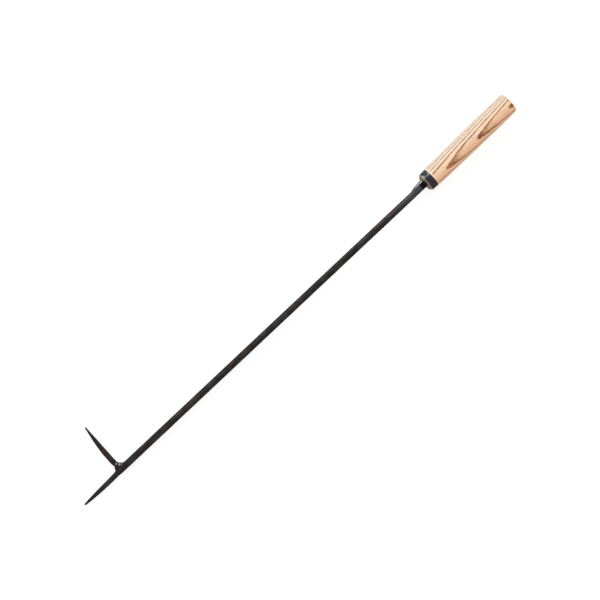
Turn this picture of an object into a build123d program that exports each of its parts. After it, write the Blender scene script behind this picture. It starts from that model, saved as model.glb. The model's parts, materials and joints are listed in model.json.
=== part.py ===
from build123d import *
import os
from math import asin, atan, cos, degrees, radians, sin

# A hand-forged fire poker, in millimetres: a round bar with a point, a side spike welded
# square to it, and a turned wooden handle with a steel ferrule.
#
# It is drawn along +X from the tip of its point, with the side spike towards +Y and the
# upper side towards +Z. The last section lays it down as it lies on a floor: on the bar
# behind the point, on the front edge of the handle and on the side spike.

# Bar and its forged point
BAR_R = 4.0
POINT_TIP_R = 1.1
POINT_ROOT_R = 3.12
POINT_LENGTH = 50.0
POINT_FULLNESS = 2.2  # power of the taper: above 1 the point swells out behind its tip
POINT_DROP = 1.2  # the tip's distance from the bar's axis, away from the spike
POINT_SECTIONS = 5
FULL_BAR_X = 62.0  # from here on the bar has its full radius

# Side spike
SPIKE_X = 57.5
SPIKE_R = 3.25
SPIKE_TIP_R = 0.72
SPIKE_REACH = 63.5  # tip to the bar's axis
SPIKE_TAPER_START = 26.0
SPIKE_FULLNESS = 1.4
SPIKE_SLOPE = 0.018  # the spike leans this much towards the handle
SPIKE_FOOT = 2.2  # its coped foot reaches down to here, above the bar's axis
SPIKE_SECTIONS = 10

# Weld bead round the foot of the spike: (height above the bar's axis, half length along
# the bar, half width across it) of the rings that it swells through
BEAD_SHIFT = 1.1  # the bead reaches further on the handle side
BEAD_RINGS = (
    (2.0, 7.6, 3.8),
    (4.6, 6.7, 3.8),
    (5.4, 5.0, 3.7),
    (6.6, 3.9, 3.6),
    (8.6, 3.4, 3.4),
)

# Bend, flare and tang at the handle end of the bar
BEND_X = 516.4
BEND_ANGLE = 0.77  # degrees, towards the spike's side
BEND_TO_NOSE = 18.7
# The flare stands out on the spike's side only: (distance behind the bend, reach from the
# axis, half height)
FLARE_STEPS = ((1.5, 3.9, 3.4), (7.0, 5.8, 3.9), (BEND_TO_NOSE, 6.5, 4.0))
TANG_ROOT = 4.6  # square
TANG_END = 3.2
TANG_LENGTH = 98.0
BORE_R = 3.6
BORE_DEPTH = 105.0

# Handle, along its own axis from the front of its nose
GRIP_LENGTH = 133.0
GRIP_R = 12.7
GRIP_FRONT_R = 12.1
GRIP_FULL_AT = 90.0  # from here on the handle is a plain cylinder
GRIP_END_CHAMFER = 1.3
NOSE_LENGTH = 2.7
NOSE_ROUND = 2.5
TENON_FRONT_R = 10.25
TENON_REAR_R = 10.55

# Ferrule, a short cone driven on to the tenon, and the brad that holds it
FERRULE_LENGTH = 8.2
FERRULE_WALL = 1.2
BRAD_R = 0.7
BRAD_PROUD = 0.15
BRAD_LENGTH = 7.0
BRAD_ANGLE = 36.0  # degrees from the top, towards the spike's side


def point_radius(x):
    """Radius of the forged point at x."""
    shrink = (1 - x / POINT_LENGTH) ** POINT_FULLNESS
    return POINT_ROOT_R - (POINT_ROOT_R - POINT_TIP_R) * shrink


def point_drop(x):
    """How far the centre of the point stands off the bar's axis at x."""
    return POINT_DROP * (1 - (x / FULL_BAR_X) ** 3)


def spike_radius(height):
    """Radius of the side spike at a height above the bar's axis."""
    taper = (height - SPIKE_TAPER_START) / (SPIKE_REACH - SPIKE_TAPER_START)
    return SPIKE_R - (SPIKE_R - SPIKE_TIP_R) * max(0.0, taper) ** SPIKE_FULLNESS


def spike_shift(height):
    """How far the spike's centre stands towards the handle, whose side of it is straight."""
    return SPIKE_R - spike_radius(height) + SPIKE_SLOPE * height


def across_bar(x):
    """Plane across the bar at x. Its own x points to the spike's side, its own y up."""
    return Plane(origin=(x, 0, 0), x_dir=(0, 1, 0), z_dir=(1, 0, 0))


def across_spike(height):
    """Plane across the side spike. Its own x points to the handle."""
    return Plane(origin=(SPIKE_X, height, 0), x_dir=(1, 0, 0), z_dir=(0, 1, 0))


bend = radians(BEND_ANGLE)
grip_direction = (cos(bend), sin(bend), 0)
grip_side = (-sin(bend), cos(bend), 0)
nose_centre = (BEND_X + BEND_TO_NOSE * cos(bend), BEND_TO_NOSE * sin(bend), 0)
grip_axis = Axis(nose_centre, grip_direction)
# The nose plane lies across the handle; the profile plane holds its axis, along its own x.
nose_plane = Plane(origin=nose_centre, x_dir=grip_side, z_dir=grip_direction)
profile_plane = Plane(origin=nose_centre, x_dir=grip_direction, z_dir=(0, 0, 1))
tenon_end = NOSE_LENGTH + FERRULE_LENGTH


# Shaft: point, bar, flare and tang, forged from one bar
with BuildPart() as shaft:
    for i in range(POINT_SECTIONS + 1):
        x = POINT_TIP_R + (POINT_LENGTH - POINT_TIP_R) * i / POINT_SECTIONS
        with BuildSketch(across_bar(x)):
            with Locations((-point_drop(x), 0)):
                Circle(point_radius(x))
    loft()
    with Locations((POINT_TIP_R, -point_drop(POINT_TIP_R), 0)):
        Sphere(point_radius(POINT_TIP_R))
    with BuildSketch(across_bar(POINT_LENGTH)):
        with Locations((-point_drop(POINT_LENGTH), 0)):
            Circle(POINT_ROOT_R)
    with BuildSketch(across_bar(FULL_BAR_X)):
        Circle(BAR_R)
    loft()
    with BuildSketch(across_bar(FULL_BAR_X)):
        Circle(BAR_R)
    extrude(amount=BEND_X - FULL_BAR_X)
    with BuildSketch(across_bar(BEND_X)):
        Circle(BAR_R)
    with BuildSketch(nose_plane):
        Circle(BAR_R)
    loft()
    for distance, flare_reach, half_height in FLARE_STEPS:
        with BuildSketch(nose_plane.offset(distance - BEND_TO_NOSE)):
            with Locations((flare_reach / 2, 0)):
                Ellipse(flare_reach / 2, half_height)
    loft(ruled=True)
    with BuildSketch(nose_plane):
        Rectangle(TANG_ROOT, TANG_ROOT)
    with BuildSketch(nose_plane.offset(TANG_LENGTH)):
        Rectangle(TANG_END, TANG_END)
    loft()

# Side spike, coped to the bar
with BuildPart() as side_spike:
    for i in range(SPIKE_SECTIONS + 1):
        height = SPIKE_FOOT + (SPIKE_REACH - SPIKE_TIP_R - SPIKE_FOOT) * i / SPIKE_SECTIONS
        with BuildSketch(across_spike(height)):
            with Locations((spike_shift(height), 0)):
                Circle(spike_radius(height))
    loft()
    with Locations((SPIKE_X + spike_shift(height), height, 0)):
        Sphere(spike_radius(height))
    add(shaft.part, mode=Mode.SUBTRACT)

# Weld bead, a saddle between the bar and the foot of the spike
with BuildPart() as weld_bead:
    for height, half_length, half_width in BEAD_RINGS:
        with BuildSketch(across_spike(height)):
            with Locations((BEAD_SHIFT * half_length / BEAD_RINGS[0][1], 0)):
                Ellipse(half_length, half_width)
    loft(ruled=True)
    add(shaft.part, mode=Mode.SUBTRACT)
    add(side_spike.part, mode=Mode.SUBTRACT)

# Brad, driven radially through the middle of the ferrule
ferrule_outer_r = (TENON_FRONT_R + TENON_REAR_R) / 2 + FERRULE_WALL
brad_turn = radians(BRAD_ANGLE)
brad_direction = Vector(grip_side) * sin(brad_turn) + Vector(0, 0, 1) * cos(brad_turn)
brad_foot = (
    Vector(nose_centre)
    + Vector(grip_direction) * (NOSE_LENGTH + FERRULE_LENGTH / 2)
    + brad_direction * (ferrule_outer_r + BRAD_PROUD - BRAD_LENGTH)
)
with BuildPart() as ferrule_brad:
    with BuildSketch(Plane(origin=brad_foot, z_dir=brad_direction)):
        Circle(BRAD_R)
    extrude(amount=BRAD_LENGTH)

# Ferrule
with BuildPart() as ferrule:
    with BuildSketch(profile_plane):
        with BuildLine():
            Polyline(
                (NOSE_LENGTH, TENON_FRONT_R),
                (tenon_end, TENON_REAR_R),
                (tenon_end, TENON_REAR_R + FERRULE_WALL),
                (NOSE_LENGTH, TENON_FRONT_R + FERRULE_WALL),
                close=True,
            )
        make_face()
    revolve(axis=grip_axis)
    add(ferrule_brad.part, mode=Mode.SUBTRACT)

# Glue that fills the bore round the tang
with BuildPart() as tang_glue:
    with BuildSketch(nose_plane):
        Circle(BORE_R)
    extrude(amount=BORE_DEPTH)
    add(shaft.part, mode=Mode.SUBTRACT)

# Handle: rounded nose, tenon under the ferrule, and the grip
with BuildPart() as handle:
    with BuildSketch(profile_plane):
        with BuildLine():
            Line((0, 0), (0, TENON_FRONT_R - NOSE_ROUND))
            RadiusArc((0, TENON_FRONT_R - NOSE_ROUND), (NOSE_ROUND, TENON_FRONT_R), NOSE_ROUND)
            Polyline(
                (NOSE_ROUND, TENON_FRONT_R),
                (NOSE_LENGTH, TENON_FRONT_R),
                (tenon_end, TENON_REAR_R),
                (tenon_end, GRIP_FRONT_R),
            )
            Bezier(
                (tenon_end, GRIP_FRONT_R),
                ((tenon_end + GRIP_FULL_AT) / 2, GRIP_R),
                (GRIP_FULL_AT, GRIP_R),
            )
            Polyline(
                (GRIP_FULL_AT, GRIP_R),
                (GRIP_LENGTH - GRIP_END_CHAMFER, GRIP_R),
                (GRIP_LENGTH, GRIP_R - GRIP_END_CHAMFER),
                (GRIP_LENGTH, 0),
                (0, 0),
            )
        make_face()
    revolve(axis=grip_axis)
    with BuildSketch(nose_plane):
        Circle(BORE_R)
    extrude(amount=BORE_DEPTH, mode=Mode.SUBTRACT)
    add(ferrule_brad.part, mode=Mode.SUBTRACT)

# At rest the bar's front and the handle's front edge touch the floor, so the front lies
# lower, and the poker is rolled until the underside of the spike touches it too.
pieces = (shaft, side_spike, weld_bead, handle, ferrule, ferrule_brad, tang_glue)
grip_front_x = BEND_X + BEND_TO_NOSE + tenon_end
slope = (GRIP_FRONT_R - BAR_R) / (grip_front_x - FULL_BAR_X)
spike_height = BAR_R - slope * (FULL_BAR_X - SPIKE_X)  # of the bar's axis, where the spike stands
pitch = degrees(atan(slope))
roll = degrees(min(asin((spike_height - spike_radius(h)) / h) for h in range(10, int(SPIKE_REACH))))
tilt = Location((0, 0, 0), (0, -pitch, 0)) * Location((0, 0, 0), (-roll, 0, 0))
extent = Compound([piece.part.moved(tilt) for piece in pieces]).bounding_box()
at_rest = Location((-extent.center().X, -extent.center().Y, -extent.min.Z)) * tilt
for piece in pieces:
    piece.part.move(at_rest)

shaft.part.label = "shaft"
side_spike.part.label = "side_spike"
weld_bead.part.label = "weld_bead"
handle.part.label = "handle"
ferrule.part.label = "ferrule"
ferrule_brad.part.label = "ferrule_brad"
tang_glue.part.label = "tang_glue"

os.makedirs("parts", exist_ok=True)
export_step(shaft.part, "parts/shaft.step")
export_step(side_spike.part, "parts/side_spike.step")
export_step(weld_bead.part, "parts/weld_bead.step")
export_step(handle.part, "parts/handle.step")
export_step(ferrule.part, "parts/ferrule.step")
export_step(ferrule_brad.part, "parts/ferrule_brad.step")
export_step(tang_glue.part, "parts/tang_glue.step")
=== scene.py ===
import json
import math

import bmesh
import bpy
from mathutils import Matrix, Vector, noise


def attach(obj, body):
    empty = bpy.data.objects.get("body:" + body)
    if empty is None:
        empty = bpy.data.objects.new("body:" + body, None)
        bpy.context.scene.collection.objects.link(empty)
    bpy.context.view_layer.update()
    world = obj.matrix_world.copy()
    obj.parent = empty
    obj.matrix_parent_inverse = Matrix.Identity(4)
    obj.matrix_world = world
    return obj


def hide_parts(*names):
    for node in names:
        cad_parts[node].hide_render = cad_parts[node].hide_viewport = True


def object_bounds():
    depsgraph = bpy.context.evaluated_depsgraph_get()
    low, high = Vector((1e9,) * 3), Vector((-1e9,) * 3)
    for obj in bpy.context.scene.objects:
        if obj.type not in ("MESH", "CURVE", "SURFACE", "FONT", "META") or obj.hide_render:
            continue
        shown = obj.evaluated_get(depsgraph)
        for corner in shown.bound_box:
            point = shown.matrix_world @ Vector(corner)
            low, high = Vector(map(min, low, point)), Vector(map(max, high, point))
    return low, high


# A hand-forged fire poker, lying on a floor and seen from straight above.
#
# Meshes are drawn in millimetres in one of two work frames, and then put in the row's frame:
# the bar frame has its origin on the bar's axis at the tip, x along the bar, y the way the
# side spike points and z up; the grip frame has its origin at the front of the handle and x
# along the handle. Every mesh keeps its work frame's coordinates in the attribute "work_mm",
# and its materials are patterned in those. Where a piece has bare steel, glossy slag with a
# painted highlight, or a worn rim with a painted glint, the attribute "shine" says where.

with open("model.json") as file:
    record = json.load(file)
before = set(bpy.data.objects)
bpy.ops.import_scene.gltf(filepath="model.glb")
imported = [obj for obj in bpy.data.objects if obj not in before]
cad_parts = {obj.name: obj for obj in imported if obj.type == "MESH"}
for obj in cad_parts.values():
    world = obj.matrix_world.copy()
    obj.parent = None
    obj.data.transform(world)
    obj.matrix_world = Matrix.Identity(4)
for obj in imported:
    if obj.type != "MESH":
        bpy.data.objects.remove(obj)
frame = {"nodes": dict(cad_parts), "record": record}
cad_low, cad_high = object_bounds()
mounts = {mount["name"]: mount for mount in frame["record"]["mounts"]}

MM = 0.001
TAU = 2 * math.pi
X, Y, Z = 0, 1, 2

# ---------------------------------------------------------------- work frames and sizes


def mount_place(name):
    return Vector(mounts[name]["pos_m"])


def mount_axis(name):
    return Vector(mounts[name]["axis"]).normalized()


def work_frame(origin, along, side):
    """Matrix from millimetres in a work frame to the row's frame."""
    up = along.cross(side)
    turn = Matrix((along, side, up)).transposed().to_4x4()
    return Matrix.Translation(origin) @ turn @ Matrix.Scale(MM, 4)


def reach(node, matrix, axis):
    """Lowest and highest coordinate of a CAD node's points on one axis of a work frame, in mm."""
    back = matrix.inverted()
    values = [(back @ v.co)[axis] for v in frame["nodes"][node].data.vertices]
    return min(values), max(values)


bar_along = -mount_axis("point")
bar_side = mount_axis("spike_corner")
tip = mount_place("point")
BAR_R = reach("shaft", work_frame(tip, bar_along, bar_side), Z)[1]
# The corner mount lies on the bar's surface, and the tip stands off the bar's axis.
POINT_DROP = (mount_place("spike_corner") - tip).dot(bar_side) / MM - BAR_R
BAR = work_frame(tip + bar_side * POINT_DROP * MM, bar_along, bar_side)

butt = mount_place("butt_face")
grip_along = mount_axis("butt_face")
grip_side = (bar_side - grip_along * bar_side.dot(grip_along)).normalized()
GRIP_LENGTH = -reach("handle", work_frame(butt, grip_along, grip_side), X)[0]
GRIP = work_frame(butt - grip_along * GRIP_LENGTH * MM, grip_along, grip_side)
GRIP_R = reach("handle", GRIP, Z)[1]
FERRULE_FRONT, FERRULE_REAR = reach("ferrule", GRIP, X)
FERRULE_R = reach("ferrule", GRIP, Z)[1]
TANG_LENGTH = reach("shaft", GRIP, X)[1]
BORE_DEPTH = reach("tang_glue", GRIP, X)[1]
BORE_R = reach("tang_glue", GRIP, Z)[1]

grip_in_bar = BAR.inverted() @ GRIP
NOSE_X = grip_in_bar.translation.x
bend_slope = grip_in_bar.col[X].y / grip_in_bar.col[X].x
BEND_X = NOSE_X - grip_in_bar.translation.y / bend_slope
SPIKE_REACH = reach("side_spike", BAR, Y)[1]
BEAD_START, BEAD_END = reach("weld_bead", BAR, X)

# Forged point of the bar
POINT_TIP_R = 1.1
POINT_ROOT_R = 3.12
POINT_LENGTH = 50.0
POINT_FULLNESS = 2.2
FULL_BAR_X = 62.0

# Side spike
SPIKE_X = 57.5
SPIKE_R = 3.25
SPIKE_TIP_R = 0.72
SPIKE_TAPER_START = 26.0
SPIKE_FULLNESS = 1.4
SPIKE_SLOPE = 0.018

# Flare and tang
FLARE_REACH = 6.5  # from the bar's axis, at the nose
FLARE_EDGE = 0.35  # cosine of the angle round the bar at which the flare begins
TANG_ROOT_R = 2.3
TANG_END_R = 1.6
TANG_SQUARENESS = 12  # power of the superellipse that is the tang's section

# Handle
NOSE_ROUND = 2.5
TENON_FRONT_R = 10.25
TENON_REAR_R = 10.55
GRIP_FRONT_R = 12.1
GRIP_FULL_AT = 90.0
BRAD_ANGLE = math.radians(36)  # from the top, towards the spike's side
BRAD_DIRECTION = Vector((0, math.sin(BRAD_ANGLE), math.cos(BRAD_ANGLE)))
FERRULE_MIDDLE = Vector(((FERRULE_FRONT + FERRULE_REAR) / 2, 0, 0))


# ---------------------------------------------------------------- small maths


def mix(a, b, t):
    return a + (b - a) * t


def ease(start, end, x):
    """0 before start, 1 after end, and smooth between them."""
    t = min(max((x - start) / (end - start), 0.0), 1.0)
    return t * t * (3 - 2 * t)


def steps(start, end, spacing):
    """Evenly spaced values from start to end, both included."""
    count = max(1, round((end - start) / spacing))
    return [mix(start, end, i / count) for i in range(count + 1)]


def turns(count):
    """Evenly spaced angles of a full turn, from 0."""
    return [TAU * i / count for i in range(count)]


def round_steps(count):
    """Evenly spaced angles of a quarter turn, both ends included."""
    return [math.pi / 2 * i / count for i in range(count + 1)]


def hammered(point, size, depth):
    """Height of a hammered surface at a point: shallow dents that meet in soft ridges."""
    nearest = noise.voronoi(Vector((point.x / size, point.y / size * 1.6, point.z / size * 1.6)))[0][0]
    return depth * (min(nearest, 1.0) ** 2 - 0.45)


def waver(point, size, height, seed=0.0):
    """Height of a gently uneven surface at a point."""
    return height * noise.noise(point / size + Vector((seed, seed, seed)))


# ---------------------------------------------------------------- objects and meshes

SHARP_ANGLE = math.radians(40)


def add_object(name, data):
    made = bpy.data.objects.new(name, data)
    bpy.context.scene.collection.objects.link(made)
    return made


def keep(mesh, name, kind, field, values):
    """Stores values for the mesh's points under a name."""
    mesh.attributes.new(name, kind, "POINT").data.foreach_set(field, values)


def ring_mesh(name, rings, matrix, looped=False, paint=None):
    """A closed mesh through rings of points, put in the row's frame.

    The last ring joins the first one if looped, and otherwise the ends are closed with fans.
    paint gives each point's "shine", from 0 for dull scale to 1 for bare steel, for glossy slag with a
    painted highlight, or for a rim with a painted glint.
    """
    form = bmesh.new()
    rows = [[form.verts.new(point) for point in ring] for ring in rings]
    following = rows[1:] + rows[:1] if looped else rows[1:]
    for row, after in zip(rows, following):
        for i in range(len(row)):
            form.faces.new((row[i - 1], row[i], after[i], after[i - 1]))
    if not looped:
        for row in (rows[0], rows[-1]):
            centre = form.verts.new(sum((v.co for v in row), Vector()) / len(row))
            for i in range(len(row)):
                form.faces.new((row[i - 1], row[i], centre))
    bmesh.ops.recalc_face_normals(form, faces=form.faces)
    mesh = bpy.data.meshes.new(name)
    form.to_mesh(mesh)
    form.free()
    places = [vertex.co.copy() for vertex in mesh.vertices]
    keep(mesh, "work_mm", "FLOAT_VECTOR", "vector", [value for place in places for value in place])
    if paint:
        keep(mesh, "shine", "FLOAT", "value", [paint(place) for place in places])
    mesh.transform(matrix)
    mesh.shade_smooth()
    mesh.set_sharp_from_angle(angle=SHARP_ANGLE)
    return add_object(name, mesh)


def stand_in(piece, node, material):
    """The piece rides on the only body, stands for a CAD node and gets its material."""
    piece.data.materials.append(material)
    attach(piece, "root")
    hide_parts(node)


# ---------------------------------------------------------------- shaft

BAR_SEGMENTS = 56
FORGED_TO = FULL_BAR_X + 25  # behind this the bar is as it was rolled


def bar_radius(x):
    """Radius of the bar and its point."""
    if x < POINT_TIP_R:
        return POINT_TIP_R * math.sqrt(max(1 - (1 - x / POINT_TIP_R) ** 2, 0))
    shrink = (1 - min(x, POINT_LENGTH) / POINT_LENGTH) ** POINT_FULLNESS
    point = POINT_ROOT_R - (POINT_ROOT_R - POINT_TIP_R) * shrink
    return mix(point, BAR_R, ease(POINT_LENGTH, FULL_BAR_X, x))


def bar_centre(x):
    """Centre of the bar's section at x, in the bar frame."""
    drop = POINT_DROP * (1 - (min(x, FULL_BAR_X) / FULL_BAR_X) ** 3)
    return Vector((x, max(x - BEND_X, 0) * bend_slope - drop, 0))


def flare_reach(x):
    """How far the flare stands out past the bar's own radius: a steep rise, then a gentle one."""
    rise = 0.7 * ease(BEND_X + 1, BEND_X + 8, x) + 0.3 * ease(BEND_X + 9, NOSE_X, x)
    return (FLARE_REACH - BAR_R) * rise


def bar_ring(x):
    """Points round the bar at x, with the flare on the spike's side and a hammered skin."""
    centre = bar_centre(x)
    radius = bar_radius(x)
    forged = 1 - ease(FULL_BAR_X, FORGED_TO, x)
    flare = flare_reach(x)
    ring = []
    for turn in turns(BAR_SEGMENTS):
        way = Vector((0, math.cos(turn), math.sin(turn)))
        at = centre + way * radius
        skin = waver(at, 22, 0.07) + waver(at, 6, 0.03, 3.1)
        skin += forged * hammered(at, 7, 0.22) * min(1, radius / BAR_R)
        lug = flare * max(0.0, (way.y - FLARE_EDGE) / (1 - FLARE_EDGE)) ** 0.7
        ring.append(at + way * (skin * ease(0, 4, x) + lug))
    return ring


def tang_ring(distance):
    """Points round the tang, which is square with soft corners, at a distance behind the nose."""
    half = mix(TANG_ROOT_R, TANG_END_R, distance / TANG_LENGTH)
    ring = []
    for turn in turns(BAR_SEGMENTS):
        c, s = math.cos(turn), math.sin(turn)
        corner = (abs(c) ** TANG_SQUARENESS + abs(s) ** TANG_SQUARENESS) ** (1 / TANG_SQUARENESS)
        size = half * 0.96 / corner
        ring.append(grip_in_bar @ Vector((distance, c * size, s * size)))
    return ring


def make_shaft(material):
    tip_rings = [POINT_TIP_R * (1 - math.cos(a)) for a in round_steps(6)[1:-1]]
    head = steps(POINT_TIP_R, FORGED_TO, 0.8)
    bar = steps(head[-1], BEND_X, 1.6)[1:]
    flare = steps(BEND_X, NOSE_X, 0.5)[1:]
    rings = [bar_ring(x) for x in tip_rings + head + bar + flare]
    rings += [tang_ring(d) for d in steps(0, TANG_LENGTH, 4)]

    def ground_flare(point):
        """Scale ground off along the flare's outer edge."""
        out = point.y - bar_centre(point.x).y
        return ease(3.5, 3.9, out) * ease(0.25, 0.6, flare_reach(point.x))

    shaft = ring_mesh("poker_shaft", rings, BAR, paint=ground_flare)
    stand_in(shaft, "shaft", material)


# ---------------------------------------------------------------- side spike

SPIKE_SEGMENTS = 48
BEAD_TOP = 9.4  # where the weld bead ends on the spike, above the bar's axis
FOOT_BEVEL = 0.45  # how much thinner the spike is inside the bead
FOOT_HEIGHT = 4.5  # of the spike's hidden end, which takes the bar's round shape


def bar_top(x, z):
    """Height of the bar's surface on the spike's side, above the bar's axis."""
    return bar_centre(x).y + math.sqrt(max(bar_radius(x) ** 2 - z**2, 0))


def spike_thinning(height):
    """How much thinner the spike is than SPIKE_R: along its taper, and where its foot is bevelled."""
    taper = (height - SPIKE_TAPER_START) / (SPIKE_REACH - SPIKE_TAPER_START)
    bevel = FOOT_BEVEL * (1 - ease(BEAD_TOP - 1, BEAD_TOP + 2.1, height))
    return (SPIKE_R - SPIKE_TIP_R) * max(0.0, taper) ** SPIKE_FULLNESS + bevel


def spike_radius(height):
    return SPIKE_R - spike_thinning(height)


def spike_centre(height):
    """Centre of the spike's section. Only its side towards the point is thinned."""
    return Vector((SPIKE_X + spike_thinning(height) + SPIKE_SLOPE * height, height, 0))


def spike_ring(height, radius=None, foot=0.0):
    """Points round the spike. At foot 1 they lie on the bar's surface, and at 0 in a plane."""
    centre = spike_centre(height)
    size = spike_radius(height) if radius is None else radius
    ring = []
    for turn in turns(SPIKE_SEGMENTS):
        way = Vector((math.cos(turn), 0, math.sin(turn)))
        at = centre + way * size
        skin = hammered(at, 7, 0.24) * min(1, size / SPIKE_R) + waver(at, 5, 0.05)
        at = at + way * skin * ease(0, 1.2, size) * (1 - foot)
        at.y = mix(at.y, bar_top(at.x, at.z), foot)
        ring.append(at)
    return ring


def make_side_spike(material):
    straight_end = SPIKE_REACH - SPIKE_TIP_R
    foot_radius = spike_radius(FOOT_HEIGHT)
    rings = [spike_ring(FOOT_HEIGHT, share * foot_radius, 1) for share in (0.3, 0.65, 1)]
    for height in steps(FOOT_HEIGHT, straight_end, 0.8)[1:]:
        rings.append(spike_ring(height, foot=1 - ease(FOOT_HEIGHT, FOOT_HEIGHT + 3, height)))
    for a in round_steps(6)[1:-1]:
        height = straight_end + SPIKE_TIP_R * math.sin(a)
        rings.append(spike_ring(height, spike_radius(straight_end) * math.cos(a)))
    spike = ring_mesh("poker_side_spike", rings, BAR)
    stand_in(spike, "side_spike", material)


# ---------------------------------------------------------------- weld bead

BEAD_SEGMENTS = 160
BEAD_ROWS = 18
BEAD_SHIFT = 0.35  # of the visible bead's middle towards the handle
BEAD_SPREAD = 1.1  # of its thin toes along the bar, past the CAD's bead
BEAD_WRAP = 1.02  # half angle of the bead's toe round the bar, in radians
RIPPLES = 22
# Lumps of slag: place from the bar's axis under the spike, size, height and shine, the strength of the
# painted highlight on the lump's lit flank
BEAD_LUMPS = (
    (Vector((1.7, 7.5, 3.0)), 1.4, 0.9, 0.3),
    (Vector((4.1, 5.1, 2.9)), 1.4, 1.4, 1.0),
    (Vector((5.4, 3.9, 2.4)), 1.1, 0.6, 0.8),
    (Vector((-1.6, 5.6, 3.4)), 1.4, 0.45, 0.3),
    (Vector((1.0, 5.2, -3.6)), 1.6, 0.5, 0.6),
    (Vector((-2.4, 4.6, -2.8)), 1.3, 0.4, 0.5),
)


def bead_toe(turn):
    """Where the bead ends on the bar's surface."""
    middle = (BEAD_START + BEAD_END) / 2 + BEAD_SHIFT
    half = (BEAD_END - BEAD_START) / 2
    wobble = 1 + 0.05 * noise.noise(Vector((math.cos(turn) * 1.5, math.sin(turn) * 1.5, 7.0)))
    x = middle + half * BEAD_SPREAD * wobble * math.cos(turn)
    lean = BEAD_WRAP * wobble * math.sin(turn)
    return bar_centre(x) + Vector((0, math.cos(lean), math.sin(lean))) * bar_radius(x)


def on_spike(turn, height):
    """Point of the spike's surface at an angle round it."""
    return spike_centre(height) + Vector((math.cos(turn), 0, math.sin(turn))) * spike_radius(height)


def bead_loop(turn):
    """Closed outline of the bead's section at an angle round the spike."""
    toe = bead_toe(turn)
    top = on_spike(turn, BEAD_TOP + 0.7 * noise.noise(Vector((math.cos(turn), math.sin(turn), 2.0))))
    corner = on_spike(turn, bar_top(toe.x * 0.3 + SPIKE_X * 0.7, SPIKE_R * math.sin(turn)))
    along = math.cos(turn)
    hollow = 0.8 - 0.3 * along - 0.2 * along**2  # deeper on the point's side than the handle's
    pull = mix((toe + top) / 2, corner, hollow)
    outward = Vector((math.cos(turn), 0.55, math.sin(turn))).normalized()
    loop = []
    for row in range(BEAD_ROWS + 1):
        v = row / BEAD_ROWS
        at = toe * (1 - v) ** 2 + pull * 2 * v * (1 - v) + top * v**2
        full = math.sin(math.pi * v) ** 0.6
        scallop = (turn / TAU * RIPPLES + 0.9 * math.cos(math.pi * v)) % 1.0
        ripple = 0.14 * (scallop**0.7) * (1 - ease(0.8, 1, scallop))
        uneven = 0.4 * noise.noise(at / 2.4) + 0.15 * noise.noise(at / 1.0)
        lumps = sum(
            height * math.exp(-((at - place - Vector((SPIKE_X, 0, 0))).length / size) ** 2)
            for place, size, height, _ in BEAD_LUMPS
        )
        loop.append(at + outward * full * (ripple + uneven + lumps))
    inner = corner - outward * 0.15
    loop += [mix(top, inner, 0.5), inner, mix(inner, toe, 0.5) - Vector((0, 0.3, 0))]
    return loop


def make_weld_bead(material):
    def glossy_slag_highlight(point):
        """Glossy slag on the lumps, with a painted highlight: bright patches a little up and out from
        the lumps' places, on the flanks that face the light.
        """
        from_crown = point - Vector((SPIKE_X, 0.6, 0.5))
        return max(
            shine * (1 - ease(0.5, 1.1, (from_crown - place).length / size))
            for place, size, _, shine in BEAD_LUMPS
        )

    rings = [bead_loop(turn) for turn in turns(BEAD_SEGMENTS)]
    bead = ring_mesh("poker_weld_bead", rings, BAR, looped=True, paint=glossy_slag_highlight)
    stand_in(bead, "weld_bead", material)


# ---------------------------------------------------------------- handle, ferrule and brad

HANDLE_SEGMENTS = 200
FERRULE_SEGMENTS = 260
BRAD_SEGMENTS = 40
# Heights of the brad's parts above the handle's axis
BRAD_INNER_END = 4.9
SHANK_END = 10.9
HEAD_FOOT = 11.05
DOME_FOOT = 11.2
DINT_HEIGHT = 11.6


def lathe(name, outline, segments, skin, looped=False, paint=None):
    """A turned piece in the grip frame, from an outline of (x, radius) and a function for its skin."""
    rings = []
    for x, radius in outline:
        ring = []
        for turn in turns(segments):
            way = Vector((0, math.cos(turn), math.sin(turn)))
            at = Vector((x, 0, 0)) + way * radius
            ring.append(at + way * skin(at))
        rings.append(ring)
    return ring_mesh(name, rings, GRIP, looped, paint)


def tenon_radius(x):
    """Radius of the slightly conical tenon that the ferrule sits on."""
    return mix(TENON_FRONT_R, TENON_REAR_R, (x - FERRULE_FRONT) / (FERRULE_REAR - FERRULE_FRONT))


def grip_radius(x):
    """Radius of the wood behind the ferrule: it swells from its front edge and then runs straight."""
    swell = 1 - min((x - FERRULE_REAR) / (GRIP_FULL_AT - FERRULE_REAR), 1)
    return GRIP_R - (GRIP_R - GRIP_FRONT_R) * swell**2


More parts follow.
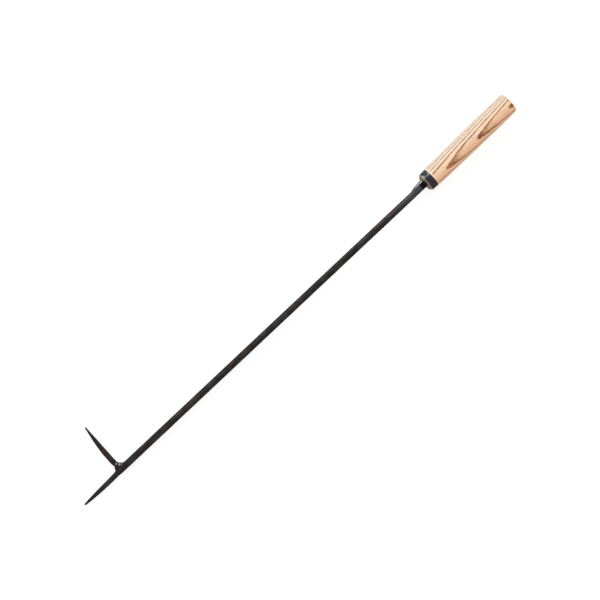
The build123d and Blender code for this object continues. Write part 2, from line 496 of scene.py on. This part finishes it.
def handle_outline():
    """Outline of the wood, from the bottom of the bore to the middle of the butt."""
    bore = [(BORE_DEPTH, r) for r in (1.2, 2.4, BORE_R)]
    bore += [(x, BORE_R) for x in steps(BORE_DEPTH, 0, -8)[1:]]
    face = [(0, r) for r in steps(BORE_R, TENON_FRONT_R - NOSE_ROUND, 0.8)[1:]]
    nose = [
        (NOSE_ROUND * (1 - math.cos(a)), TENON_FRONT_R - NOSE_ROUND * (1 - math.sin(a)))
        for a in round_steps(8)[1:]
    ]
    tenon = [(x, tenon_radius(x)) for x in steps(FERRULE_FRONT, FERRULE_REAR, 1)]
    edge = 0.35
    shoulder = [(FERRULE_REAR, r) for r in steps(TENON_REAR_R, GRIP_FRONT_R - edge, 0.4)[1:]]
    front = [
        (FERRULE_REAR + edge * (1 - math.cos(a)), GRIP_FRONT_R - edge * (1 - math.sin(a)))
        for a in round_steps(4)[1:-1]
    ]
    end_round = 1.7
    grip = [(x, grip_radius(x)) for x in steps(FERRULE_REAR + edge, GRIP_LENGTH - end_round, 0.8)]
    end = [
        (GRIP_LENGTH - end_round * (1 - math.sin(a)), GRIP_R - end_round * (1 - math.cos(a)))
        for a in round_steps(6)[1:]
    ]
    butt_face = [(GRIP_LENGTH, r) for r in steps(GRIP_R - end_round, 0.5, -0.8)[1:]]
    return bore + face + nose + tenon + shoulder + front + grip + end + butt_face


def make_handle(material):
    def skin(at):
        """Unevenness left by the lathe and the sandpaper."""
        if at.yz.length < BORE_R + 0.1 or at.x < FERRULE_REAR + 0.1:
            return 0.0
        return waver(at, 30, 0.12) + waver(Vector((at.x / 6, at.y, at.z)), 3, 0.03, 5.0)

    handle = lathe("poker_handle", handle_outline(), HANDLE_SEGMENTS, skin)
    stand_in(handle, "handle", material)


def ferrule_outline():
    """Outline of the ferrule's wall, with its outer edges rounded."""
    wall = FERRULE_R - TENON_REAR_R
    bevel = 0.22
    front_r = TENON_FRONT_R + wall
    along = steps(FERRULE_FRONT + bevel, FERRULE_REAR - bevel, 0.36)
    outline = [(x, tenon_radius(x)) for x in steps(FERRULE_REAR, FERRULE_FRONT, -1.2)]
    outline += [(FERRULE_FRONT, TENON_FRONT_R + wall * share) for share in (0.3, 0.6)]
    outline += [
        (FERRULE_FRONT + bevel * (1 - math.cos(a)), front_r - bevel * (1 - math.sin(a)))
        for a in round_steps(4)
    ]
    outline += [(x, tenon_radius(x) + wall) for x in along[1:-1]]
    outline += [
        (FERRULE_REAR - bevel * (1 - math.sin(a)), FERRULE_R - bevel * (1 - math.cos(a)))
        for a in round_steps(4)
    ]
    return outline


def make_ferrule(material):
    dint = FERRULE_MIDDLE + BRAD_DIRECTION * DINT_HEIGHT

    def skin(at):
        """Hammer marks on the outside, and the dint round the brad."""
        outside = ease(0.2, 0.5, at.yz.length - tenon_radius(at.x) - 0.4)
        sink = 0.4 * (1 - ease(0.6, 1.5, (at - dint).length))
        return outside * (hammered(at, 4.5, 0.16) + waver(at, 1.6, 0.03) - sink)

    def worn_rim_and_glint(at):
        """Bright front rim, worn a little all round and brightest on the spike's side, where the extra
        brightness is a painted glint.
        """
        front = 1 - ease(0.25, 0.85, at.x - FERRULE_FRONT)
        return front * mix(0.2, 1.0, ease(-1, 9, at.y))

    outline = ferrule_outline()
    ferrule = lathe("poker_ferrule", outline, FERRULE_SEGMENTS, skin, looped=True, paint=worn_rim_and_glint)
    stand_in(ferrule, "ferrule", material)


def make_brad(material):
    """A cut brad, whose small domed head sits in the dint that drove it home."""
    side = Vector((1, 0, 0))
    other = BRAD_DIRECTION.cross(side)
    shank_r = 0.68
    head_r = 0.82
    profile = [(r, BRAD_INNER_END) for r in (0.25, shank_r)]
    profile += [(shank_r, h) for h in steps(BRAD_INNER_END, SHANK_END, 1.5)[1:]]
    profile += [(head_r, HEAD_FOOT)]
    profile += [(head_r * math.cos(a), DOME_FOOT + 0.22 * math.sin(a)) for a in round_steps(6)[:-1]]
    rings = []
    for radius, height in profile:
        ring = []
        for turn in turns(BRAD_SEGMENTS):
            way = side * math.cos(turn) + other * math.sin(turn)
            at = FERRULE_MIDDLE + BRAD_DIRECTION * height + way * radius
            ring.append(at + BRAD_DIRECTION * waver(at, 0.5, 0.06))
        rings.append(ring)
    brad = ring_mesh("poker_ferrule_brad", rings, GRIP)
    stand_in(brad, "ferrule_brad", material)


# ---------------------------------------------------------------- materials


class Recipe:
    """Builds a material's nodes round its own Principled shader."""

    def __init__(self, name):
        self.material = bpy.data.materials.new(name)
        self.material.use_nodes = True
        self.tree = self.material.node_tree
        self.shader = self.tree.nodes["Principled BSDF"]

    def node(self, kind, inputs=(), **settings):
        """Adds a node; inputs are (socket, value or other node's output) pairs."""
        made = self.tree.nodes.new("ShaderNode" + kind)
        for key, value in settings.items():
            setattr(made, key, value)
        for socket, value in inputs:
            self.feed(made.inputs[socket], value)
        return made

    def feed(self, socket, value):
        if isinstance(value, bpy.types.NodeSocket):
            self.tree.links.new(value, socket)
        else:
            socket.default_value = value

    def set(self, socket, value):
        self.feed(self.shader.inputs[socket], value)

    def work_mm(self):
        return self.node("Attribute", attribute_name="work_mm").outputs["Vector"]

    def shine(self):
        return self.node("Attribute", attribute_name="shine").outputs["Fac"]

    def part(self, place, axis):
        """One coordinate of a place; axis is its letter."""
        return self.node("SeparateXYZ", ((0, place),)).outputs[axis]

    def maths(self, operation, a, b=0.0):
        return self.node("Math", ((0, a), (1, b)), operation=operation).outputs["Value"]

    def vector(self, operation, a, b=(0, 0, 0)):
        made = self.node("VectorMath", ((0, a), (1, b)), operation=operation)
        return made.outputs["Value" if operation == "LENGTH" else "Vector"]

    def spots(self, place, scale, detail=2.0, roughness=0.5, distortion=0.0):
        """Noise, from 0 to 1, at a number of cells per unit of the place."""
        made = self.node(
            "TexNoise",
            (
                ("Vector", place),
                ("Scale", scale),
                ("Detail", detail),
                ("Roughness", roughness),
                ("Distortion", distortion),
            ),
        )
        return made.outputs["Fac"]

    def grain(self, place, stretch, scale=1.0, detail=2.0, roughness=0.5):
        """Noise with its own number of cells along each axis, which is stretch times scale."""
        return self.spots(self.vector("MULTIPLY", place, stretch), scale, detail, roughness)

    def swing(self, noise_value, size):
        """Noise made to swing about 0, over a range of size."""
        return self.maths("MULTIPLY", self.maths("SUBTRACT", noise_value, 0.5), size)

    def ramp(self, value, stops):
        """Colour ramp from (position, colour) pairs; a colour can be one grey number."""
        made = self.node("ValToRGB", ((0, value),))
        elements = made.color_ramp.elements
        while len(elements) < len(stops):
            elements.new(0.5)
        for element, (position, colour) in zip(elements, stops):
            element.position = position
            grey = isinstance(colour, (int, float))
            element.color = (colour, colour, colour, 1) if grey else (*colour, 1)
        return made.outputs["Color"]

    def blend(self, share, a, b, mode="MIX"):
        made = self.node("MixRGB", ((0, share), (1, a), (2, b)), blend_type=mode)
        return made.outputs["Color"]

    def times(self, colour, factor):
        return self.blend(1.0, colour, factor, "MULTIPLY")

    def bump(self, height, distance_mm, under=None):
        inputs = [("Height", height), ("Distance", distance_mm * MM), ("Strength", 1.0)]
        if under is not None:
            inputs.append(("Normal", under))
        return self.node("Bump", inputs).outputs["Normal"]


GRAZING = (0.15, 0.15, 0.15, 1)  # rough scale stays dark where it is seen edge-on
HEAT_LENGTH = 60.0  # of the bar before the nose, greyed by heat and rubbing


def bare_mask(m, fine, raggedness, stops):
    """1 on bare steel and 0 on scale, with a ragged edge from fine noise between them."""
    return m.ramp(m.maths("ADD", m.shine(), m.swing(fine, raggedness)), stops)


def scale_colour_and_nose_shadow(m, place, fine):
    """Colour of the scale: brown and grey patches, then greyed by heat, and darkened just before the
    nose by a painted shadow of the ferrule and handle.
    """
    black = m.ramp(
        m.grain(place, (0.35, 1, 1), 0.12, 4, 0.65),
        ((0.36, (0.040, 0.0305, 0.0285)), (0.5, (0.018, 0.016, 0.0155)), (0.66, (0.031, 0.031, 0.036))),
    )
    heated_x = m.maths("SUBTRACT", m.part(place, "X"), NOSE_X - HEAT_LENGTH)
    to_nose = m.maths("DIVIDE", heated_x, HEAT_LENGTH)
    heated = m.ramp(to_nose, ((0.0, 0.0), (0.78, 0.85), (0.88, 0.85), (0.92, 0.0)))
    scale = m.blend(heated, black, (0.052, 0.053, 0.060, 1))
    # Painted shadow: the bar's last few millimetres before the nose are darkened to about a third, as if
    # shaded by the ferrule and handle.
    scale = m.times(scale, m.ramp(to_nose, ((0.89, 1.0), (0.93, 0.35))))
    return m.times(scale, m.ramp(fine, ((0.3, 0.4), (0.5, 1.0), (0.7, 2.3))))


def forged_steel():
    """Black scale with brown and grey patches, over bright steel where it is ground off."""
    m = Recipe("forged_steel")
    place = m.work_mm()
    fine = m.spots(place, 0.8, 6, 0.7)
    scale = scale_colour_and_nose_shadow(m, place, fine)
    scratches = m.grain(place, (0.25, 3, 3), 1.0, 3)
    steel = m.ramp(scratches, ((0.35, (0.085, 0.091, 0.10)), (0.65, (0.19, 0.202, 0.218))))
    bare = bare_mask(m, fine, 0.6, ((0.45, 0.0), (0.7, 1.0)))
    m.set("Base Color", m.blend(bare, scale, steel))
    m.set("Metallic", m.ramp(bare, ((0.0, 0.6), (1.0, 1.0))))
    m.set("Specular Tint", m.ramp(bare, ((0.0, GRAZING[:3]), (1.0, (1.0, 1.0, 1.0)))))
    rough_scale = m.ramp(m.spots(place, 0.5, 4), ((0.3, 0.40), (0.7, 0.56)))
    m.set("Roughness", m.blend(bare, rough_scale, (0.36, 0.36, 0.36, 1)))
    m.set("Specular IOR Level", 0.03)
    skin = m.bump(m.spots(place, 2.6, 6, 0.7), 0.04)
    m.set("Normal", m.bump(m.spots(place, 0.45, 3), 0.12, skin))
    return m.material


def weld_steel():
    """Burnt scale on the bead, and glossy slag whose lumps carry a painted highlight on their lit
    flanks.
    """
    m = Recipe("weld_steel")
    place = m.work_mm()
    tone = m.ramp(m.spots(place, 0.8, 4), ((0.35, (0.012, 0.011, 0.012)), (0.65, (0.042, 0.039, 0.040))))
    slag_highlight_share = m.shine()
    # Painted highlight: a pale, smooth metal colour on the lumps' lit flanks.
    m.set("Base Color", m.blend(slag_highlight_share, tone, (0.30, 0.292, 0.27, 1)))
    m.set("Metallic", 1.0)
    m.set("Specular Tint", GRAZING)
    rough = m.ramp(m.spots(place, 0.6, 3), ((0.38, 0.24), (0.66, 0.46)))
    m.set("Roughness", m.blend(slag_highlight_share, rough, (0.1, 0.1, 0.1, 1)))
    m.set("Normal", m.bump(m.spots(place, 3.0, 4), 0.03))
    return m.material


def ferrule_steel():
    """Blued steel with purple patches, made paler and bluer on the spike's side by a painted highlight,
    and bright at its worn front rim, which also carries a painted glint on that side.
    """
    m = Recipe("ferrule_steel")
    place = m.work_mm()
    patches = m.spots(place, 0.24, 4, 0.6, 0.8)
    dark = m.ramp(
        patches,
        ((0.35, (0.014, 0.014, 0.017)), (0.47, (0.038, 0.026, 0.034)), (0.6, (0.026, 0.032, 0.046))),
    )
    # Paler, bluer colour of the painted highlight, blended in towards the spike's side, where the light
    # falls.
    pale = m.ramp(
        patches,
        ((0.35, (0.022, 0.019, 0.023)), (0.5, (0.055, 0.060, 0.070)), (0.62, (0.040, 0.068, 0.115))),
    )
    side = m.maths("ADD", m.part(place, "Y"), m.spots(place, 0.35, 2))
    painted_highlight_side = m.ramp(m.maths("DIVIDE", side, FERRULE_R), ((0.3, 0.0), (0.5, 1.0)))
    speckle = m.ramp(m.spots(place, 0.7, 5, 0.7), ((0.3, 0.35), (0.5, 1.0), (0.7, 2.4)))
    blued_and_highlight = m.times(m.blend(painted_highlight_side, dark, pale), speckle)
    fine = m.spots(place, 2.2, 5, 0.65)
    # The bare rim: real wear all round, with a painted glint that makes it brightest on the spike's
    # side.
    bare = bare_mask(m, fine, 0.8, ((0.35, 0.0), (0.85, 1.0)))
    m.set("Base Color", m.blend(bare, blued_and_highlight, (0.45, 0.44, 0.43, 1)))
    m.set("Metallic", m.ramp(bare, ((0.0, 0.7), (1.0, 1.0))))
    m.set("Specular Tint", GRAZING)
    m.set("Roughness", m.ramp(m.spots(place, 0.9, 4), ((0.3, 0.26), (0.7, 0.46))))
    m.set("Normal", m.bump(fine, 0.05))
    return m.material


def brad_steel():
    """Dull black iron."""
    m = Recipe("brad_steel")
    place = m.work_mm()
    tone = m.ramp(m.spots(place, 2.5, 3), ((0.3, (0.010, 0.010, 0.011)), (0.7, (0.035, 0.034, 0.036))))
    m.set("Base Color", tone)
    m.set("Metallic", 0.4)
    m.set("Roughness", m.ramp(m.spots(place, 3.5, 2), ((0.3, 0.4), (0.7, 0.65))))
    m.set("Normal", m.bump(m.spots(place, 4, 3), 0.03))
    return m.material


def glue():
    """Amber epoxy."""
    m = Recipe("glue")
    place = m.node("TexCoord").outputs["Object"]
    tone = m.ramp(m.spots(place, 300, 3), ((0.3, (0.36, 0.24, 0.10)), (0.7, (0.55, 0.42, 0.22))))
    m.set("Base Color", tone)
    m.set("Roughness", m.ramp(m.spots(place, 900, 2), ((0.3, 0.25), (0.7, 0.4))))
    return m.material


# Growth rings of the ash. Its handle was turned at a slight slant to them, so that on the upper
# side each ring comes out as a flame, whose point lies where the ring just touches the surface.
FLAME_APEX = 27.2  # of one flame, behind the nose
FLAME_TURN = math.radians(-24)  # of the flames' middle line, from the top away from the spike's side
FLAME_SLANT = 0.0426  # of the handle to the rings
RING_WIDTH = 2.55  # at that flame
RING_LIFT = 0.1  # by which the surface reaches further out through the rings at the butt
RING_TREND = 30.0  # depth over which the rings widen by a factor of e
RINGS_UNDER = 100.0  # added to the count of rings, which keeps it positive
PITH_DEPTH = 180.0  # of the tree's middle, below that flame's point
NOSE_SCALE = 10.0  # millimetres to one unit of the nose's ramps


def to_tree():
    """Location and turn that take the grip frame's millimetres to the tree's, with x up the trunk."""
    outward = Vector((0, math.sin(FLAME_TURN), math.cos(FLAME_TURN)))
    along = (Vector((1, 0, 0)) - outward * FLAME_SLANT).normalized()
    radial = (outward - along * outward.dot(along)).normalized()
    tree = Matrix((along, radial.cross(along), radial)).transposed().to_4x4()
    apex = Vector((FLAME_APEX, 0, 0)) + outward * grip_radius(FLAME_APEX)
    return (Matrix.Translation(apex) @ tree @ Matrix.Translation((0, 0, -PITH_DEPTH))).inverted()


def ring_share(m, work, tree):
    """How far through its growth ring each point lies, from 0 to 1."""
    across = m.vector("LENGTH", m.vector("MULTIPLY", tree, (0, 1, 1)))
    sway = m.swing(m.grain(tree, (0.4, 1, 1), 0.09, 1), 0.7)
    tremble = m.swing(m.grain(tree, (0.3, 1, 1), 0.9, 2), 0.35)
    depth = m.maths("ADD", m.maths("SUBTRACT", m.maths("ADD", across, sway), PITH_DEPTH), tremble)
    near_butt = m.ramp(m.maths("DIVIDE", m.part(work, "X"), GRIP_LENGTH), ((0.6, 0.0), (1.0, 1.0)))
    depth = m.maths("ADD", depth, m.maths("MULTIPLY", near_butt, RING_LIFT))
    growth = m.maths("EXPONENT", m.maths("DIVIDE", depth, RING_TREND))
    rings = m.maths("MULTIPLY", m.maths("SUBTRACT", growth, 1.0), RING_TREND / RING_WIDTH)
    return m.maths("FRACT", m.maths("ADD", rings, RINGS_UNDER))


def early_wood(m, tint, open_pores, streaks):
    """Brown of the open-pored bands."""
    brown = m.blend(open_pores, (0.50, 0.215, 0.095, 1), (0.25, 0.070, 0.025, 1))
    brown = m.times(brown, m.ramp(tint, ((0.2, 0.75), (0.4, 1.0))))
    return m.times(brown, m.ramp(streaks, ((0.38, 1.3), (0.5, 0.9), (0.62, 0.45))))


def late_wood(m, tint, fibres, streaks):
    """Pale wood between the bands, orange on one side of the handle and grey on the other."""
    pale = m.ramp(
        tint, ((0.15, (0.73, 0.43, 0.25)), (0.5, (0.745, 0.525, 0.36)), (0.85, (0.62, 0.535, 0.425)))
    )
    pale = m.times(pale, m.ramp(fibres, ((0.25, 0.80), (0.5, 1.0), (0.75, 1.1))))
    return m.times(pale, m.ramp(streaks, ((0.3, 1.03), (0.7, 0.9))))


def bore_shade_mask(m, work, into):
    """1 in an uneven oval round the bore, where a painted shade darkens the nose round the bar, and 0
    elsewhere.
    """
    stretched_work = m.vector("MULTIPLY", m.vector("SUBTRACT", work, (0, 0, 2)), (0.8, 1.3, 0.52))
    shade_reach = m.maths("ADD", m.vector("LENGTH", stretched_work), m.maths("MULTIPLY", m.spots(work, 0.5, 3), 2.0))
    bore_shade = m.ramp(m.maths("DIVIDE", shade_reach, NOSE_SCALE), ((0.62, 1.0), (0.70, 0.0)))
    return m.maths("MULTIPLY", bore_shade, m.ramp(into, ((0.13, 1.0), (0.18, 0.0))))


def ash_wood():
    """Ring-porous ash: brown bands of open pores, each fading into smooth pale latewood."""
    m = Recipe("ash_wood")
    work = m.work_mm()
    turned = to_tree()
    placed = (("Vector", work), ("Location", turned.to_translation()), ("Rotation", turned.to_euler()))
    tree = m.node("Mapping", placed).outputs["Vector"]
    early = m.ramp(
        ring_share(m, work, tree),
        ((0.0, 1.0), (0.12, 1.0), (0.24, 0.7), (0.40, 0.4), (0.6, 0.0), (0.99, 0.0), (1.0, 1.0)),
    )
    pores = m.grain(tree, (0.35, 3.2, 3.2), 1.0, 2, 0.6)
    open_pores = m.ramp(pores, ((0.40, 0.0), (0.54, 1.0)))
    fibres = m.grain(tree, (0.05, 3, 3), 1.0, 4, 0.6)
    streaks = m.grain(tree, (0.12, 1, 1))
    clouds = m.maths("MULTIPLY", m.grain(tree, (0.02, 0.12, 0.12)), 0.5)
    to_side = m.maths("DIVIDE", m.part(work, "Y"), 2 * GRIP_R)
    tint = m.maths("ADD", to_side, m.maths("ADD", clouds, 0.25))

    # The bands are faint just behind the ferrule, where x over FERRULE_REAR is 1.
    x = m.part(work, "X")
    behind = m.maths("DIVIDE", x, FERRULE_REAR)
    clear = m.ramp(m.maths("SUBTRACT", behind, 0.5), ((0.5, 0.2), (0.62, 0.3), (0.72, 1.0)))
    dense = m.ramp(m.maths("ADD", early, m.swing(pores, 2.2)), ((0.35, 0.0), (0.8, 1.0)))
    strength = m.maths("MULTIPLY", dense, clear)
    band = m.maths("MULTIPLY", strength, m.ramp(early, ((0.0, 0.3), (1.0, 1.0))))
    late = m.times(late_wood(m, tint, fibres, streaks), m.ramp(clear, ((0.3, 1.1), (1.0, 1.0))))
    surface = m.blend(band, late, early_wood(m, tint, open_pores, streaks))

    # The nose shows end grain, darkest in front, and has a nearly black painted shade round the bore,
    # where the bar goes in.
    into = m.maths("DIVIDE", x, NOSE_SCALE)
    bore_shade = bore_shade_mask(m, work, into)
    end_grain = m.ramp(into, ((0.18, (0.145, 0.09, 0.063)), (0.25, (0.50, 0.36, 0.23))))
    # Painted shade round the bore: the end grain turns nearly black there.
    end_grain = m.blend(bore_shade, end_grain, (0.010, 0.008, 0.008, 1))
    nose = m.ramp(behind, ((0.0, 1.0), (0.9, 1.0), (0.95, 0.0)))
    m.set("Base Color", m.blend(nose, surface, end_grain))
    smooth = m.ramp(fibres, ((0.3, 0.62), (0.7, 0.5)))
    m.set("Roughness", m.blend(m.maths("MULTIPLY", bore_shade, nose), smooth, (1, 1, 1, 1)))
    m.set("Specular IOR Level", 0.2)
    pits = m.maths("MULTIPLY", early, open_pores)
    m.set("Normal", m.bump(m.maths("SUBTRACT", m.maths("MULTIPLY", fibres, 0.3), pits), 0.09))
    return m.material


def floor_white():
    """A white light table, whose glow nearly drowns the shadows."""
    m = Recipe("floor_white")
    place = m.node("TexCoord").outputs["Object"]
    m.set("Base Color", m.ramp(m.spots(place, 3, 2), ((0.3, 0.24), (0.7, 0.26))))
    m.set("Roughness", 0.9)
    m.set("Specular IOR Level", 0.0)
    m.set("Emission Color", (1, 1, 1, 1))
    m.set("Emission Strength", 0.78)
    return m.material


# ---------------------------------------------------------------- floor, light and camera

FLOOR_HALF_WIDTH = 8.0  # in metres, as are KEY_PLACE, KEY_SIZE and CAMERA_HEIGHT
KEY_PLACE = Vector((0.6, 2.0, 1.36))
KEY_SIZE = 0.9
KEY_WATTS = 38
LENS = 66.0  # in millimetres, as are SENSOR and SHOWN_MIDDLE
SENSOR = 36.0
CAMERA_HEIGHT = 1.257  # above the bar
SHOWN_TURN = math.radians(-43.23)  # of the camera about the vertical
SHOWN_MIDDLE = Vector((341.2, 1.0, 0))  # in the middle of the picture, in the bar frame


def make_floor():
    form = bmesh.new()
    bmesh.ops.create_grid(form, x_segments=8, y_segments=8, size=FLOOR_HALF_WIDTH)
    mesh = bpy.data.meshes.new("floor")
    form.to_mesh(mesh)
    form.free()
    mesh.materials.append(floor_white())
    floor = add_object("floor", mesh)
    floor.location.z = cad_low.z


def make_key_light():
    """A square area light that points at the object's middle."""
    light = bpy.data.lights.new("key", "AREA")
    light.size = KEY_SIZE
    light.energy = KEY_WATTS
    lamp = add_object("key", light)
    lamp.location = KEY_PLACE
    lamp.rotation_euler = (-KEY_PLACE).to_track_quat("-Z", "Y").to_euler()


def make_world():
    """White all round, which blends with the floor at low angles."""
    world = bpy.data.worlds.new("studio")
    bpy.context.scene.world = world
    world.use_nodes = True
    background = world.node_tree.nodes["Background"]
    background.inputs["Color"].default_value = (1.0, 1.0, 1.0, 1)
    background.inputs["Strength"].default_value = 1.0


def make_camera():
    camera = bpy.data.cameras.new("camera")
    camera.lens = LENS
    camera.sensor_width = SENSOR
    eye = add_object("camera", camera)
    eye.location = BAR @ SHOWN_MIDDLE + Vector((0, 0, CAMERA_HEIGHT))
    eye.rotation_euler = (0, 0, SHOWN_TURN)
    bpy.context.scene.camera = eye


# ---------------------------------------------------------------- the scene

make_camera()
make_key_light()
make_world()
make_floor()

black = forged_steel()
make_shaft(black)
make_side_spike(black)
make_weld_bead(weld_steel())
make_handle(ash_wood())
make_ferrule(ferrule_steel())
make_brad(brad_steel())
frame["nodes"]["tang_glue"].data.materials.clear()
frame["nodes"]["tang_glue"].data.materials.append(glue())

bpy.context.scene.view_settings.view_transform = "Standard"
